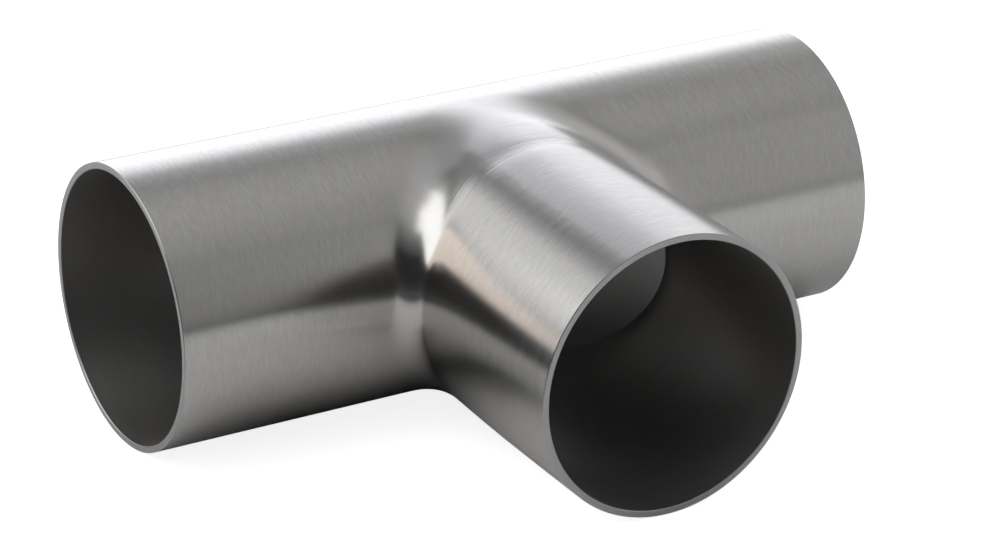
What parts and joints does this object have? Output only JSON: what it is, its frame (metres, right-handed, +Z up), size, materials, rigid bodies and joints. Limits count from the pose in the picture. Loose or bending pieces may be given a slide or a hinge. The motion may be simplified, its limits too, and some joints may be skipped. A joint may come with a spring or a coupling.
{
  "type": "weld tee",
  "caption": "Equal weld tee of thin brushed steel tube: a straight run with a branch drawn out square to it, open at every end, with plain square-cut ends for butt welding.",
  "frame": {"origin": "where the run's axis crosses the branch's axis, half the tube's outside diameter above the line that the tee lies on", "axes": "+X along the run, -Y along the branch out of its open end, +Z up with both axes level, as the tee lies"},
  "size_m": [0.138, 0.0945, 0.051],
  "materials": {
    "brushed_steel": "satin, brushed round each tube outside, smoother over the junction, darker and plain inside"
  },
  "bodies": {
    "root": {"tee_body": "brushed_steel"}
  },
  "joints": []
}
